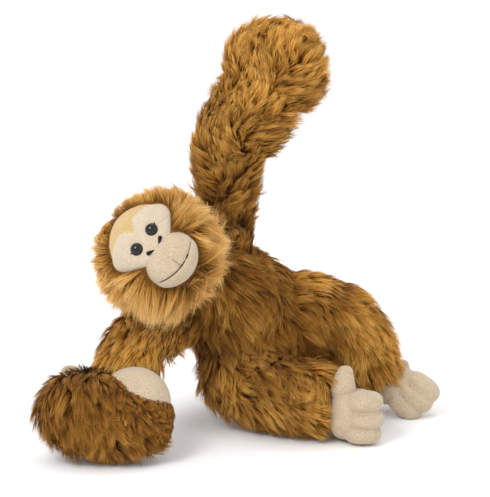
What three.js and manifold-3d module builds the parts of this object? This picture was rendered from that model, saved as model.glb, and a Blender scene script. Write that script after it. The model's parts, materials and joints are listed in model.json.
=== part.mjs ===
// A reclining plush orangutan on a poseable plastic skeleton. Millimetres, +Z up, face towards -Y.
// Soft segments are fur skins over stuffing; each joint is a fork and an eye on one moulded pin.
import * as THREE from 'three';
import { mergeVertices } from 'three/addons/utils/BufferGeometryUtils.js';
import Module from 'manifold-3d';

const wasm = await Module();
wasm.setup();

const vec = (x, y, z) => new THREE.Vector3(x, y, z);

// Driving sizes
const GAP = 0.3; // clearance between touching pieces
const SKIN = 2.2; // thickness of the pile fabric
const ROD_R = 3.6;
const BORE_R = ROD_R + GAP;
const CHEEK_R = 6.6; // fork cheeks and their collar
const CHEEK = 2.4; // thickness of one cheek
const EYE = 5; // thickness of the eye between the cheeks
const EYE_R = 6.2;
const PIN_R = 1.9;
const COLLAR_START = 7.4; // along the rod, from the joint centre
const COLLAR_END = 10.6;
const SOFT_START = 6; // where the soft body starts, from the joint centre
const MOUTH_R = 8.8; // hole in a skin's end, around the collar
const MOUTH_DEPTH = 12;

// Joint centres and the middles of the hands and feet, before the whole toy is centred
const spineTop = vec(-36, 50, 168);
const spineWay = vec(92, 66, -124).normalize();
const neck = vec(-52, 20, 176);
const headMiddle = vec(-80, -23, 199);
const limbs = {
  left: {
    shoulder: vec(-4, 56, 203),
    elbow: vec(-8, 57, 285),
    hand: vec(37, 58, 368),
    hip: vec(80, 80, 87),
    knee: vec(112, 76, 101),
    ankle: vec(146, 82, 48),
  },
  right: {
    shoulder: vec(-57, 38, 115),
    elbow: vec(-101, -30, 108),
    hand: vec(-131, -92, 45),
    hip: vec(10, 49, 48),
    knee: vec(33, 21, 42),
    ankle: vec(92, -4, 38),
  },
};
const headFront = vec(0.04, -0.97, 0.25).normalize();
const headUp = vec(-0.79, 0, 0.61).projectOnPlane(headFront).normalize();
const headLeft = headUp.clone().cross(headFront);

const between = (a, b, t) => a.clone().lerp(b, t);
const along = (from, way, distance) => from.clone().addScaledVector(way, distance);
const wayTo = (a, b) => b.clone().sub(a).normalize();

// ---- solids -------------------------------------------------------------------------------

// A three.js geometry as a manifold solid that faces outward.
function solid(geometry) {
  const bare = new THREE.BufferGeometry();
  bare.setAttribute('position', geometry.getAttribute('position').clone());
  if (geometry.index) bare.setIndex(geometry.index.clone());
  const merged = mergeVertices(bare, 1e-4);
  const points = merged.getAttribute('position').array;
  const index = merged.index.array;
  const corners = [];
  let volume = 0;
  for (let i = 0; i < index.length; i += 3) {
    const [a, b, c] = [index[i], index[i + 1], index[i + 2]];
    if (a === b || b === c || c === a) continue;
    const [p, q, r] = [a, b, c].map((n) => vec(...points.slice(3 * n, 3 * n + 3)));
    volume += p.dot(q.cross(r));
    corners.push(a, b, c);
  }
  if (volume < 0) corners.reverse();
  const mesh = new wasm.Mesh({
    numProp: 3,
    vertProperties: new Float32Array(points),
    triVerts: new Uint32Array(corners),
  });
  return new wasm.Manifold(mesh);
}

// The turn that takes +Y to a direction.
const upTo = (way) => new THREE.Quaternion().setFromUnitVectors(vec(0, 1, 0), way);

// A turned body from one point towards another; profile rows are [distance along, radius].
function turned(from, way, profile, segments = 10) {
  const outline = profile.map(([t, r]) => new THREE.Vector2(r, t));
  const body = new THREE.LatheGeometry(outline, segments);
  return solid(body.applyQuaternion(upTo(way)).translate(from.x, from.y, from.z));
}

function rod(from, to, radius, segments = 8) {
  const length = from.distanceTo(to);
  const body = new THREE.CylinderGeometry(radius, radius, length, segments);
  const middle = between(from, to, 0.5);
  return solid(body.applyQuaternion(upTo(wayTo(from, to))).translate(middle.x, middle.y, middle.z));
}

// A frame of three perpendicular directions as a matrix, placed at a point.
function placed(x, y, z, at) {
  return new THREE.Matrix4().makeBasis(x, y, z).setPosition(at);
}

function ellipsoid(at, x, y, z, radii, segments = 12, rings = 8) {
  const ball = new THREE.SphereGeometry(1, segments, rings).scale(...radii);
  return solid(ball.applyMatrix4(placed(x, y, z, at)));
}

function block(at, x, y, z, sizes) {
  return solid(new THREE.BoxGeometry(...sizes).applyMatrix4(placed(x, y, z, at)));
}

// What lies under the floor, for cutting flats.
const belowFloor = solid(new THREE.BoxGeometry(900, 900, 200).translate(0, 0, -100));
const floorGuard = solid(new THREE.BoxGeometry(900, 900, 200).translate(0, 0, -99.6));

// A rounded sausage profile between two distances; the bulge sits at a share of the length.
function sausage(start, end, startR, bulgeR, endR, inset = 0) {
  const a = start + inset;
  const b = end - inset;
  const length = b - a;
  const rows = [[a, 0]];
  const shape = [[0.05, 0.58], [0.2, 0.91], [0.4, 1], [0.6, 1], [0.8, 0.91], [0.95, 0.58]];
  for (const [share, fill] of shape) {
    const toBulge = startR + (bulgeR - startR) * share * 2;
    const toEnd = bulgeR + (endR - bulgeR) * (share - 0.5) * 2;
    const side = share < 0.5 ? toBulge : toEnd;
    rows.push([a + share * length, Math.max(side * fill - inset, 1)]);
  }
  rows.push([b, 0]);
  return rows;
}

// ---- the joint hardware ---------------------------------------------------------------------

// The two cheeks, collar and pin that a parent link carries. Back points into the parent.
function fork(at, axis, back) {
  const side = axis.clone().cross(back).normalize();
  const offset = EYE / 2 + GAP + CHEEK / 2;
  let body = rod(along(at, back, COLLAR_START), along(at, back, COLLAR_END), CHEEK_R);
  for (const sign of [-1, 1]) {
    const middle = along(at, axis, sign * offset);
    const half = (sign * CHEEK) / 2;
    body = body.add(rod(along(middle, axis, -half), along(middle, axis, half), CHEEK_R));
    const plate = along(middle, back, COLLAR_START / 2 + 0.5);
    body = body.add(block(plate, side, back, axis, [8.4, COLLAR_START + 1, CHEEK]));
  }
  const reach = offset + CHEEK / 2 - 0.4;
  return body.add(rod(along(at, axis, -reach), along(at, axis, reach), PIN_R));
}

// The eye and neck that a child link turns on. Out points into the child.
function eye(at, axis, out) {
  const side = axis.clone().cross(out).normalize();
  const half = EYE / 2;
  const disc = rod(along(at, axis, -half), along(at, axis, half), EYE_R, 10);
  const stem = block(along(at, out, 5), side, out, axis, [6, 8, EYE]);
  const hole = rod(along(at, axis, -half - 1), along(at, axis, half + 1), PIN_R + GAP);
  return disc.add(stem).subtract(hole);
}

// The room a link needs through skins and stuffing.
function linkRoom(from, to) {
  const way = wayTo(from, to);
  const length = from.distanceTo(to);
  const start = rod(along(from, way, -3), along(from, way, MOUTH_DEPTH), MOUTH_R);
  const end = rod(along(to, way, -MOUTH_DEPTH), along(to, way, 3), MOUTH_R);
  return start.add(rod(from, along(from, way, length), BORE_R)).add(end);
}

// ---- colours --------------------------------------------------------------------------------

const FUR = { color: '#b0743a', roughness: 0.95 };
const HEAD_FUR = { color: '#c48f52', roughness: 0.95 };
const BEIGE = { color: '#dccaa8', roughness: 0.95 };
const CREAM = { color: '#ecdfc6', roughness: 0.95 };
const TAN = { color: '#cdb07a', roughness: 0.95 };
const STUFFING = { color: '#f3f1ea', roughness: 1 };
const CANVAS = { color: '#cfc8b4', roughness: 0.95 };
const SKELETON = { color: '#d8d8d2', roughness: 0.55 };
const THREAD = { color: '#1a1512', roughness: 0.85 };
const EYE_PLASTIC = { color: '#1c100a', roughness: 0.08 };
const WASHER = { color: '#e8e8e4', roughness: 0.6 };

const group = new THREE.Group();
group.name = 'plush_orangutan';

// Adds one solid to the group as a named mesh.
function piece(name, shape, look) {
  const { numProp, vertProperties, triVerts } = shape.getMesh();
  const points = new Float32Array((vertProperties.length / numProp) * 3);
  for (let i = 0; i * numProp < vertProperties.length; i += 1) {
    points.set(vertProperties.slice(i * numProp, i * numProp + 3), i * 3);
  }
  const geometry = new THREE.BufferGeometry();
  geometry.setAttribute('position', new THREE.BufferAttribute(points, 3));
  geometry.setIndex(new THREE.BufferAttribute(new Uint32Array(triVerts), 1));
  geometry.computeVertexNormals();
  const mesh = new THREE.Mesh(geometry, new THREE.MeshStandardMaterial({ metalness: 0, ...look }));
  mesh.name = name;
  group.add(mesh);
}

// ---- torso ------------------------------------------------------------------------------------

const torsoOutline = [
  [-30, 0], [-24, 17], [-12, 31], [4, 40], [30, 47], [70, 52], [115, 53],
  [155, 52], [180, 50], [198, 42], [210, 28], [218, 0],
];
// the same outline moved inward, for the inside of the skin and the outside of the stuffing
const inward = (outline, by) => {
  const last = outline.length - 1;
  const middle = (outline[0][0] + outline[last][0]) / 2;
  const stretch = 1 - (2 * by) / (outline[last][0] - outline[0][0]);
  return outline.map(([t, r]) => [middle + (t - middle) * stretch, r === 0 ? 0 : r - by]);
};

function torsoShape(by) {
  return turned(spineTop, spineWay, inward(torsoOutline, by), 12);
}

const hipWay = (limb) => wayTo(limb.hip, limb.knee);
const armWay = (limb) => wayTo(limb.shoulder, limb.elbow);
const foreWay = (limb) => wayTo(limb.elbow, limb.hand);
const shinWay = (limb) => wayTo(limb.knee, limb.ankle);

// Hinge axes: each stands square to the limb it carries.
const squareTo = (way, wanted) => wanted.clone().projectOnPlane(way).normalize();
const axes = {
  neck: headUp.clone(),
  shoulderLeft: squareTo(armWay(limbs.left), vec(0, 1, 0)),
  elbowLeft: armWay(limbs.left).cross(foreWay(limbs.left)).normalize(),
  hipLeft: squareTo(hipWay(limbs.left), vec(0, -1, 0)),
  kneeLeft: shinWay(limbs.left).cross(hipWay(limbs.left)).normalize(),
  shoulderRight: squareTo(armWay(limbs.right), vec(-0.72, 0.4, 0.56)),
  elbowRight: foreWay(limbs.right).cross(armWay(limbs.right)).normalize(),
  hipRight: squareTo(hipWay(limbs.right), vec(-0.77, -0.64, 0)),
  kneeRight: squareTo(shinWay(limbs.right), vec(0, 0, -1)),
};

// The five places where the skeleton leaves the torso: [joint, hinge axis, distance down the spine]
const branches = [
  [neck, axes.neck, 8],
  [limbs.left.shoulder, axes.shoulderLeft, 26],
  [limbs.right.shoulder, axes.shoulderRight, 26],
  [limbs.left.hip, axes.hipLeft, 140],
  [limbs.right.hip, axes.hipRight, 140],
];

function torsoLinks(radius, withForks) {
  let body = rod(along(spineTop, spineWay, 4), along(spineTop, spineWay, 144), radius);
  for (const [joint, axis, down] of branches) {
    const root = along(spineTop, spineWay, down);
    const back = squareTo(axis, wayTo(joint, root));
    const collar = along(joint, back, COLLAR_END - 1);
    body = body.add(rod(collar, root, radius));
    if (withForks) {
      body = body.add(fork(joint, axis, back));
    } else {
      body = body.add(rod(along(joint, back, -9), along(joint, back, MOUTH_DEPTH), MOUTH_R));
      body = body.add(rod(along(joint, axis, -7), along(joint, axis, 7), MOUTH_R));
    }
  }
  return body;
}

// The pellet bag is a flat cushion in the seat, under the stuffing.
const seatMiddle = vec(48, 108, 0);
function bagShape(by) {
  const low = vec(seatMiddle.x, seatMiddle.y, 13);
  return ellipsoid(low, vec(1, 0, 0), vec(0, 1, 0), vec(0, 0, 1), [24 + by, 20 + by, 8 + by]);
}

// A hole under the bag joins its hollow to the outside of the stuffing.
const bagChute = rod(vec(seatMiddle.x, seatMiddle.y, -20), vec(seatMiddle.x, seatMiddle.y, 12), 12);

const torsoRoom = torsoLinks(BORE_R, false);
const torsoHollow = torsoShape(SKIN).subtract(floorGuardAt(SKIN));
const torsoShell = torsoShape(0).subtract(torsoHollow).subtract(torsoRoom).subtract(belowFloor);
const bagRoom = bagShape(GAP).add(bagChute);
const torsoFilling = torsoShape(SKIN + GAP).subtract(floorGuardAt(SKIN + GAP)).subtract(torsoRoom);
piece('torso_skin', torsoShell, FUR);
piece('torso_stuffing', torsoFilling.subtract(bagRoom), STUFFING);
piece('pellet_bag', bagShape(0), CANVAS);
piece('skeleton_torso', torsoLinks(ROD_R, true), SKELETON);

function floorGuardAt(height) {
  return floorGuard.translate([0, 0, height - 0.4]);
}

// ---- limb segments -----------------------------------------------------------------------------

// One soft segment with its skin, stuffing and link. Extra solids are cut away from the soft parts.
function segment(name, look, from, to, sizes, hinge, nextHinge, cut) {
  const way = wayTo(from, to);
  const end = from.distanceTo(to) - (nextHinge ? SOFT_START : 0);
  const shape = (by) => turned(from, way, sausage(SOFT_START, end, ...sizes, by));
  const room = linkRoom(from, to);
  let skin = shape(0).subtract(shape(SKIN)).subtract(room);
  let stuffing = shape(SKIN + GAP).subtract(room);
  if (cut) {
    skin = skin.subtract(cut);
    stuffing = stuffing.subtract(cut);
  }
  piece(`${name}_skin`, skin.subtract(belowFloor), look);
  piece(`${name}_stuffing`, stuffing, STUFFING);
  let link = eye(from, hinge, squareTo(hinge, way));
  if (nextHinge) {
    link = link.add(rod(along(from, way, 7.6), along(to, way, -COLLAR_END + 1), ROD_R));
    link = link.add(fork(to, nextHinge, squareTo(nextHinge, way.clone().negate())));
  } else {
    link = link.add(rod(along(from, way, 7.6), to, ROD_R));
  }
  piece(`skeleton_${name}`, link, SKELETON);
}

// ---- arms and hands -----------------------------------------------------------------------------

const hands = {
  left: {
    x: vec(0.88, 0, -0.48), y: vec(0, 1, 0), z: vec(0.48, 0, 0.88),
    radii: [43, 31, 45], palmWay: vec(0.1, 0.98, 0.1).normalize(), palmOut: 18,
    thumb: [vec(70, 76, 352), vec(82, 86, 372)],
  },
  right: {
    x: vec(1, 0, 0), y: vec(0, 1, 0), z: vec(0, 0, 1),
    radii: [62, 42, 47], palmWay: vec(0.73, 0.53, 0.42).normalize(), palmOut: 37,
    thumb: [vec(-160, -74, 66), vec(-168, -62, 84)],
  },
};

function handShape(limb, hand, by) {
  const radii = hand.radii.map((r) => r - by);
  return ellipsoid(limb.hand, hand.x, hand.y, hand.z, radii, 14, 8);
}

function palmShape(limb, hand, by) {
  const side = hand.palmWay.clone().cross(vec(0, 0, 1)).normalize();
  const rise = side.clone().cross(hand.palmWay);
  const at = along(limb.hand, hand.palmWay, hand.palmOut);
  return ellipsoid(at, side, hand.palmWay, rise, [34 + by, 24 + by, 34 + by], 12, 8);
}

for (const [side, limb] of Object.entries(limbs)) {
  const Side = side === 'left' ? 'Left' : 'Right';
  const mark = side === 'left' ? 'l' : 'r';
  const hand = hands[side];
  const shoulderAxis = axes[`shoulder${Side}`];
  const elbowAxis = axes[`elbow${Side}`];
  segment(`upper_arm_${mark}`, FUR, limb.shoulder, limb.elbow, [25, 29, 27], shoulderAxis, elbowAxis);

  const wrist = between(limb.elbow, limb.hand, 0.78);
  const mitten = handShape(limb, hand, -GAP);
  const palmSpace = palmShape(limb, hand, GAP);
  segment(`forearm_${mark}`, FUR, limb.elbow, wrist, [27, 31, 31], elbowAxis, null, mitten.add(palmSpace));

  const wristRoom = rod(limb.elbow, along(wrist, foreWay(limb), GAP), BORE_R);
  const back = handShape(limb, hand, 0).subtract(handShape(limb, hand, SKIN).subtract(floorGuardAt(SKIN)));
  piece(`hand_back_${mark}`, back.subtract(wristRoom).subtract(belowFloor), FUR);
  const filling = handShape(limb, hand, SKIN + GAP).subtract(floorGuardAt(SKIN + GAP));
  piece(`hand_stuffing_${mark}`, filling.subtract(wristRoom), STUFFING);
  const thumbWay = wayTo(...hand.thumb);
  const thumbLength = hand.thumb[0].distanceTo(hand.thumb[1]) + 8;
  const thumb = (by) => turned(hand.thumb[0], thumbWay, sausage(0, thumbLength, 10, 10, 9, -by), 10);
  const palmRoom = mitten.add(thumb(GAP)).add(wristRoom);
  piece(`palm_${mark}`, palmShape(limb, hand, 0).subtract(palmRoom).subtract(belowFloor), BEIGE);
  piece(`thumb_${mark}`, thumb(0).subtract(mitten), BEIGE);
}

// ---- legs and feet --------------------------------------------------------------------------------

const feet = {
  left: {
    at: vec(172, 84, 28), x: vec(0.8, 0, -0.6), radii: [31, 26, 25],
    toe: [vec(166, 104, 30), vec(170, 112, 42)], kneeR: 9,
  },
  right: {
    at: vec(119, -14, 30), x: vec(1, 0, 0), radii: [27, 30, 30],
    toe: [vec(105, -12, 52), vec(106, -12, 70)], kneeR: 28,
  },
};

// The foot is a soft rounded block.
function footShape(foot, by) {
  const ball = new THREE.SphereGeometry(1, 14, 10);
  const place = ball.getAttribute('position');
  const squared = (value) => Math.sign(value) * Math.abs(value) ** 0.8;
  for (let i = 0; i < place.count; i += 1) {
    place.setXYZ(i, squared(place.getX(i)), squared(place.getY(i)), squared(place.getZ(i)));
  }
  const z = vec(-foot.x.z, 0, foot.x.x);
  const radii = foot.radii.map((r) => (r + by) * 0.97);
  return solid(ball.scale(...radii).applyMatrix4(placed(foot.x, vec(0, 1, 0), z, foot.at)));
}

for (const [side, limb] of Object.entries(limbs)) {
  const Side = side === 'left' ? 'Left' : 'Right';
  const mark = side === 'left' ? 'l' : 'r';
  const foot = feet[side];
  const kneeAxis = axes[`knee${Side}`];
  const shinRadii = [foot.kneeR, 36, 27];
  segment(`thigh_${mark}`, FUR, limb.hip, limb.knee, [19, 21, 13], axes[`hip${Side}`], kneeAxis);
  segment(`shin_${mark}`, FUR, limb.knee, limb.ankle, shinRadii, kneeAxis, null, footShape(foot, GAP));
  const footRod = rod(limb.knee, along(limb.ankle, shinWay(limb), GAP), BORE_R);
  const toeWay = wayTo(...foot.toe);
  const toeLength = foot.toe[0].distanceTo(foot.toe[1]) + 9;
  const toe = turned(foot.toe[0], toeWay, sausage(0, toeLength, 10, 11, 10), 10);
  piece(`foot_${mark}`, footShape(foot, 0).subtract(footRod).subtract(belowFloor), BEIGE);
  piece(`big_toe_${mark}`, toe.subtract(footShape(foot, GAP)), BEIGE);
}

// ---- head ----------------------------------------------------------------------------------------

const HEAD_R = 48;
const onFace = (leftward, upward, forward) =>
  along(along(along(headMiddle, headLeft, leftward), headUp, upward), headFront, forward);

function headShape(by) {
  const radii = [HEAD_R + 3 - by, HEAD_R - 4 - by, HEAD_R - by];
  return ellipsoid(headMiddle, headLeft, headFront, headUp, radii, 14, 8);
}
const neckBack = squareTo(axes.neck, wayTo(headMiddle, neck)).negate();
const neckEnd = along(neck, neckBack, 40);
const neckRoom = rod(neck, along(neck, neckBack, 40 + GAP), BORE_R).add(
  rod(neck, along(neck, neckBack, MOUTH_DEPTH), MOUTH_R));

// Face layers: the forehead patch, the two-lobed eye mask and the muzzle lie over the skin.
const FACE_RISE = 3;
const MUZZLE_RADII = [28, 24, 23];
const MUZZLE_UP = -12;
const MUZZLE_OUT = 34;
const muzzleAt = onFace(0, MUZZLE_UP, MUZZLE_OUT);
function muzzleShape(by) {
  return ellipsoid(muzzleAt, headLeft, headFront, headUp, MUZZLE_RADII.map((r) => r + by), 14, 8);
}
function onMuzzle(leftward, upward) {
  const [wide, deep, high] = MUZZLE_RADII;
  const depth = deep * Math.sqrt(1 - (leftward / wide) ** 2 - (upward / high) ** 2);
  return onFace(leftward, MUZZLE_UP + upward, MUZZLE_OUT + depth);
}
const nostrilShape = (sign, by) =>
  ellipsoid(onMuzzle(sign * 8, 17), headLeft, headFront, headUp, [3.6 + by, 7 + by, 2.2 + by], 10, 6);
function patch(at, width, height, by) {
  return ellipsoid(at, headLeft, headFront, headUp, [width + by, 26 + by, height + by], 12, 8);
}
const faceShell = headShape(-FACE_RISE).subtract(headShape(-GAP));
const browMask = (by) => patch(onFace(18, 17, 32), 23, 17, by).add(patch(onFace(-18, 17, 32), 23, 17, by));
const eyeSeat = (sign) => onFace(sign * 12, 19, 0);
const eyeDepth = HEAD_R - 4 + FACE_RISE - 1.2;

const stalk = (sign, radius) =>
  rod(along(eyeSeat(sign), headFront, 22), along(eyeSeat(sign), headFront, eyeDepth - 1), radius, 10);
const nostrilRooms = nostrilShape(-1, GAP).add(nostrilShape(1, GAP));
const stalkRooms = stalk(-1, 1.8).add(stalk(1, 1.8));
const washer = (sign, by) => {
  const at = along(eyeSeat(sign), headFront, 27);
  return rod(along(at, headFront, -1 - by), along(at, headFront, 1 + by), 8 + by, 12);
};
const washerRooms = washer(-1, GAP).add(washer(1, GAP));

const headCuts = neckRoom.add(stalkRooms);
const muzzleRoom = muzzleShape(GAP);
const headShell = headShape(0).subtract(headShape(SKIN));
const headFilling = headShape(SKIN + GAP).subtract(washerRooms);
piece('head_skin', headShell.subtract(headCuts).subtract(muzzleRoom), HEAD_FUR);
piece('head_stuffing', headFilling.subtract(headCuts).subtract(muzzleRoom), STUFFING);
const neckRod = rod(along(neck, neckBack, 7.6), neckEnd, ROD_R);
piece('skeleton_head', eye(neck, axes.neck, neckBack).add(neckRod), SKELETON);
piece('muzzle', muzzleShape(0), BEIGE);
const maskCuts = muzzleRoom.add(stalkRooms).add(nostrilRooms);
piece('eye_mask', browMask(0).intersect(faceShell).subtract(maskCuts), CREAM);
const foreheadShape = patch(onFace(0, 27, 24), 26, 18, 0).intersect(faceShell);
piece('forehead_patch', foreheadShape.subtract(browMask(GAP)).subtract(muzzleShape(GAP)), TAN);

for (const [mark, sign] of [['l', 1], ['r', -1]]) {
  const at = along(eyeSeat(sign), headFront, eyeDepth + 2.6);
  const dome = ellipsoid(at, headLeft, headFront, headUp, [6, 3.6, 6], 12, 6);
  const cap = dome.subtract(headShape(-FACE_RISE - GAP));
  const pin = rod(along(eyeSeat(sign), headFront, 23), at, 1.4, 8);
  piece(`eye_${mark}`, cap.add(pin), EYE_PLASTIC);
  piece(`eye_washer_${mark}`, washer(sign, 0).subtract(stalk(sign, 1.7)), WASHER);
}

// Nostrils and mouth are raised satin stitches on the muzzle.
const stitched = muzzleShape(1.1).subtract(muzzleShape(GAP));
for (const [mark, sign] of [['l', 1], ['r', -1]]) {
  piece(`nostril_${mark}`, nostrilShape(sign, 0).intersect(stitched), THREAD);
}
function threadAlong(points, radius) {
  const curve = new THREE.CatmullRomCurve3(points);
  const outline = new THREE.Shape().absellipse(0, 0, radius, radius, 0, 2 * Math.PI);
  const body = new THREE.ExtrudeGeometry(outline, { extrudePath: curve, steps: 14, curveSegments: 4 });
  return solid(body);
}
const smile = [-22, -12, 0, 12, 22].map((leftward) => onMuzzle(leftward, -12 + 0.011 * leftward ** 2));
const philtrum = [-1, -6, -11].map((upward) => onMuzzle(0, upward));
const mouth = threadAlong(smile, 1.3).add(threadAlong(philtrum, 1.1));
piece('mouth_stitch', mouth.subtract(muzzleRoom), THREAD);

// The toy stands on the floor with its box's middle at the origin.
const box = new THREE.Box3().setFromObject(group);
const middle = box.getCenter(vec(0, 0, 0));
for (const mesh of group.children) mesh.geometry.translate(-middle.x, -middle.y, 0);

export default group;
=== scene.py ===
"""A reclining plush ape: long-pile body and head, short-pile face, palms and feet. Metres, +Z up."""

import json
from math import cos, pi, radians, sin

import bmesh
import bpy
import numpy as np
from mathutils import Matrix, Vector, noise
from mathutils.kdtree import KDTree


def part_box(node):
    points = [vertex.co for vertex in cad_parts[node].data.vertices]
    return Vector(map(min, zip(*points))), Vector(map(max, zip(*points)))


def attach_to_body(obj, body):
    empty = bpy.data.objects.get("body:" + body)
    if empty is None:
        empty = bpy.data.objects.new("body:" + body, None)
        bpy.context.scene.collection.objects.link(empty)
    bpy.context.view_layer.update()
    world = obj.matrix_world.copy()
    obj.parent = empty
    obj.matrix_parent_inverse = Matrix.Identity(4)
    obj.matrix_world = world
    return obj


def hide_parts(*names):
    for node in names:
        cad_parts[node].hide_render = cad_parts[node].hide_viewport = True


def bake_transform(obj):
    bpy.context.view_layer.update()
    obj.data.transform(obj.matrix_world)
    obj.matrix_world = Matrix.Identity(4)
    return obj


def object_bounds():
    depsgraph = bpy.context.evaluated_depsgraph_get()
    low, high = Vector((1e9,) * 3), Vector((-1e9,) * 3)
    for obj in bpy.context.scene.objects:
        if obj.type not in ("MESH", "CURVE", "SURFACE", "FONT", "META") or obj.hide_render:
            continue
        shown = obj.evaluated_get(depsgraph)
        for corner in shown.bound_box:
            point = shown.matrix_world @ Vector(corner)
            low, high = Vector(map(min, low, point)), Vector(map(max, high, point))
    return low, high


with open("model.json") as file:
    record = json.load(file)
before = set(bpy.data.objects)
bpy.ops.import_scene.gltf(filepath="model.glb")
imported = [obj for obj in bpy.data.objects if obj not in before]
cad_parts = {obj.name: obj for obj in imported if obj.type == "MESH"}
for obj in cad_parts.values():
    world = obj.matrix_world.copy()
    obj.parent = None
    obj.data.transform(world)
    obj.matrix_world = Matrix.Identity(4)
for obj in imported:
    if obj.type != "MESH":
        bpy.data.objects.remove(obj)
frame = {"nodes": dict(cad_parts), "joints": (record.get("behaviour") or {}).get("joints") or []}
cad_low, cad_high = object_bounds()

MM = 0.001
FLOOR_GAP = 0.4 * MM
PROUD = 13 * MM  # how far the pile may stand outside the CAD box
SEED = 11
noise.seed_set(SEED)  # without this the noise vectors start from the clock


# ---------------------------------------------------------------- places


def mm(x, y, z):
    return Vector((x, y, z)) * MM


def middle(node):
    low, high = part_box(node)
    return (low + high) / 2


JOINTS = {j["name"]: Vector(j["pos_m"]) for j in frame["joints"]}

BODY_WAY = Vector((0.548, 0.393, -0.738)).normalized()  # from the neck to the seat
BODY_START = JOINTS["neck_turn"] + mm(16, 30, -8)  # where the torso's own line begins
LAP = (JOINTS["hip_l"] + JOINTS["hip_r"]) / 2 + mm(22, -26, 16)  # the hollow between belly and thighs, where shade is painted on the pile

FACE_FRONT = Vector((0.04, -0.97, 0.25)).normalized()
FACE_UP = Vector((-0.79, 0, 0.61))
FACE_UP = (FACE_UP - FACE_FRONT * FACE_UP.dot(FACE_FRONT)).normalized()
FACE_LEFT = FACE_UP.cross(FACE_FRONT)
EYE_ACROSS, EYE_HEIGHT, EYE_DEPTH = 12, 19, 44.5  # left, up and forward of the head's middle
EYE_RADII = (6.6, 6.6, 5.4)
EYE_BOX_DEPTH = 37.6  # from the head's middle to the middle of an eye with its shank
HEAD_MIDDLE = (middle("eye_l") + middle("eye_r")) / 2
HEAD_MIDDLE -= (FACE_UP * EYE_HEIGHT + FACE_FRONT * EYE_BOX_DEPTH) * MM
HEAD_MIDDLE += mm(1.7, 0, -2.8)  # the stuffed head sags a little on its neck
HEAD_RADII = (54, 51, 46)  # left, up, front
HEAD_RISE = 3  # the head's ball sits this far above the face's middle
MUZZLE_RADII = (28.5, 25, 23)
MUZZLE_AT = (0.5, -13.5, 35)  # left, up and forward of the head's middle


def on_head(left, up, front):
    """A point in the face's own directions, from the middle of the head, in mm."""
    return HEAD_MIDDLE + (FACE_LEFT * left + FACE_UP * up + FACE_FRONT * front) * MM


# ---------------------------------------------------------------- small maths


def unit(rows):
    return rows / np.maximum(np.linalg.norm(rows, axis=1, keepdims=True), 1e-12)


def along_surface(ways, normals):
    """The part of each way that lies in the surface, one unit long."""
    return unit(ways - normals * np.sum(ways * normals, axis=1, keepdims=True))


HILL_BASE = 2.718  # near e, so that a hill is near a bell curve


def hill(distance, width):
    """1 at no distance, falling smoothly to almost nothing at twice the width."""
    return HILL_BASE ** (-((distance / width) ** 2))


def squared(shares, power):
    """Below 1, the power pushes a unit ball's corners out toward a block's."""
    return np.sign(shares) * np.abs(shares) ** power


def smooth_curve(rows, per_span=10):
    """A Catmull-Rom curve through the rows; each row may hold a point and a radius."""
    rows = np.array(rows, float)
    padded = np.vstack([2 * rows[0] - rows[1], rows, 2 * rows[-1] - rows[-2]])
    found = []
    for before, start, end, after in zip(padded, padded[1:], padded[2:], padded[3:]):
        for step in range(per_span):
            t = step / per_span
            found.append(
                0.5
                * (
                    2 * start
                    + (end - before) * t
                    + (2 * before - 5 * start + 4 * end - after) * t**2
                    + (3 * start - before - 3 * end + after) * t**3
                )
            )
    found.append(rows[-1])
    return np.array(found)


def mesh_object(name, points, faces, smooth=True):
    mesh = bpy.data.meshes.new(name)
    mesh.from_pydata([tuple(p) for p in points], [], faces)
    mesh.validate()
    mesh.update()
    obj = bpy.data.objects.new(name, mesh)
    bpy.context.scene.collection.objects.link(obj)
    if smooth:
        mesh.polygons.foreach_set("use_smooth", [True] * len(mesh.polygons))
    return obj


def give(obj, material):
    """Cover a piece with one material."""
    obj.data.materials.clear()
    obj.data.materials.append(material)
    return obj


# ---------------------------------------------------------------- fabric bodies


class Tube:
    """A fabric tube: spheres along a curve, as a closed mesh."""

    def __init__(self, name, rows, sides=40):
        self.rows = rows
        self.obj = mesh_object(name, *self.skin(sides))

    def ways(self):
        steps = np.gradient(self.rows[:, :3], axis=0)
        return unit(steps)

    def skin(self, sides):
        centres, radii = self.rows[:, :3], self.rows[:, 3]
        across = Vector((0.3, 1, 0.2))
        points, faces = [], []
        for centre, radius, way in zip(centres, radii, self.ways()):
            way = Vector(way)
            across = (across - way * across.dot(way)).normalized()
            other = way.cross(across)
            for k in range(sides):
                turn = 2 * pi * k / sides
                points.append(Vector(centre) + (across * cos(turn) + other * sin(turn)) * radius)
        for ring in range(len(centres) - 1):
            for k in range(sides):
                a, b = ring * sides + k, ring * sides + (k + 1) % sides
                faces.append((a, b, b + sides, a + sides))
        for ring, flip in ((0, True), (len(centres) - 1, False)):
            points.append(Vector(centres[ring]))
            cap = len(points) - 1
            for k in range(sides):
                a, b = ring * sides + k, ring * sides + (k + 1) % sides
                faces.append((cap, b, a) if flip else (cap, a, b))
        for p in points:
            p.z = max(p.z, FLOOR_GAP)
        return points, faces

    def depth(self, points):
        """How far inside the tube each point is, negative outside."""
        best = np.full(len(points), -1.0)
        for x, y, z, radius in self.rows:
            gap = radius - np.linalg.norm(points - (x, y, z), axis=1)
            best = np.maximum(best, gap)
        return best

    def flow(self, points):
        """The way along the tube at each point."""
        gaps = [np.linalg.norm(points - row[:3], axis=1) for row in self.rows]
        return self.ways()[np.argmin(gaps, axis=0)]


BALL_DETAIL = 5


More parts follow.
